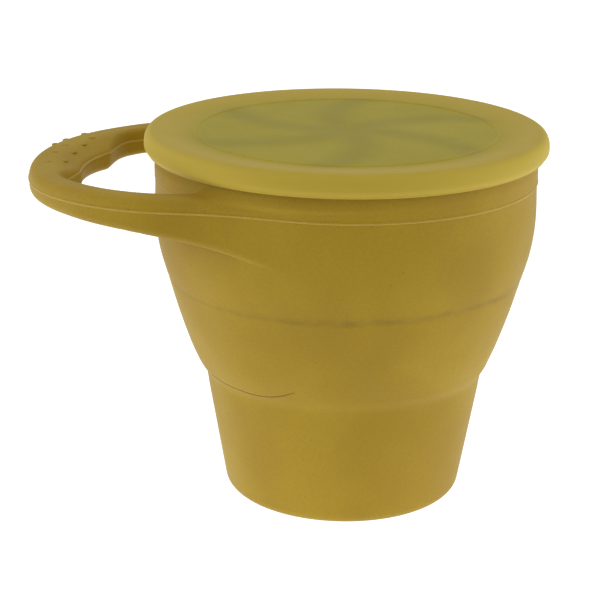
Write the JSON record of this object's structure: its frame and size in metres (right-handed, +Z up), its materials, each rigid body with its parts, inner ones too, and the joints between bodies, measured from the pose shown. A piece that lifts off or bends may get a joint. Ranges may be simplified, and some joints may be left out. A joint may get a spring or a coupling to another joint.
{
  "type": "toddler snack container",
  "caption": "Collapsible soft snack cup with a loop handle on one side, a lid of curved finger flaps plugged into its mouth and a thin cover lid over that.",
  "frame": {"origin": "centre of the cup's underside, on the plane it rests on", "axes": "+Z up along the cup's axis, -X towards the tip of the loop handle"},
  "size_m": [0.118, 0.0916, 0.086],
  "materials": {
    "cup_silicone": "matte moulded silicone",
    "flap_silicone": "matte moulded silicone",
    "cover_silicone": "translucent frosted silicone"
  },
  "bodies": {
    "cup_base": {"cup_base": "cup_silicone", "cup_fold_wall": "cup_silicone"},
    "cup_rim": {"cup_rim_wall": "cup_silicone", "handle_loop": "cup_silicone"},
    "flap_lid": {"flap_lid_ring": "flap_silicone"},
    "cover": {"cover_lid": "cover_silicone"},
    "flap_1": {"flap_1": "flap_silicone"},
    "flap_2": {"flap_2": "flap_silicone"},
    "flap_3": {"flap_3": "flap_silicone"},
    "flap_4": {"flap_4": "flap_silicone"},
    "flap_5": {"flap_5": "flap_silicone"},
    "flap_6": {"flap_6": "flap_silicone"}
  },
  "joints": [
    {"name": "collapse", "type": "slide", "parent": "cup_base", "child": "cup_rim", "axis": [0, 0, 1], "range_m": [-0.039, 0], "deforming": ["cup_fold_wall"]},
    {"name": "flap_lid_lift", "type": "slide", "parent": "cup_rim", "child": "flap_lid", "axis": [0, 0, 1], "range_m": [0, 0.06]},
    {"name": "cover_lift", "type": "slide", "parent": "flap_lid", "child": "cover", "axis": [0, 0, 1], "range_m": [0, 0.05]},
    {"name": "flap_1_bend", "type": "hinge", "parent": "flap_lid", "child": "flap_1", "pos_m": [0.02026, 0.02415, 0.0812], "axis": [-0.766, 0.6428, 0], "range_deg": [-50, 0], "stiffness_Nm_per_rad": 0.004, "springref_deg": 5.73},
    {"name": "flap_2_bend", "type": "hinge", "parent": "flap_lid", "child": "flap_2", "pos_m": [-0.01078, 0.02962, 0.0812], "axis": [-0.9397, -0.342, 0], "range_deg": [-50, 0], "stiffness_Nm_per_rad": 0.004, "springref_deg": 5.73},
    {"name": "flap_3_bend", "type": "hinge", "parent": "flap_lid", "child": "flap_3", "pos_m": [-0.03104, 0.00547, 0.0812], "axis": [-0.1736, -0.9848, 0], "range_deg": [-50, 0], "stiffness_Nm_per_rad": 0.004, "springref_deg": 5.73},
    {"name": "flap_4_bend", "type": "hinge", "parent": "flap_lid", "child": "flap_4", "pos_m": [-0.02026, -0.02415, 0.0812], "axis": [0.766, -0.6428, 0], "range_deg": [-50, 0], "stiffness_Nm_per_rad": 0.004, "springref_deg": 5.73},
    {"name": "flap_5_bend", "type": "hinge", "parent": "flap_lid", "child": "flap_5", "pos_m": [0.01078, -0.02962, 0.0812], "axis": [0.9397, 0.342, 0], "range_deg": [-50, 0], "stiffness_Nm_per_rad": 0.004, "springref_deg": 5.73},
    {"name": "flap_6_bend", "type": "hinge", "parent": "flap_lid", "child": "flap_6", "pos_m": [0.03104, -0.00547, 0.0812], "axis": [0.1736, 0.9848, 0], "range_deg": [-50, 0], "stiffness_Nm_per_rad": 0.004, "springref_deg": 5.73}
  ]
}
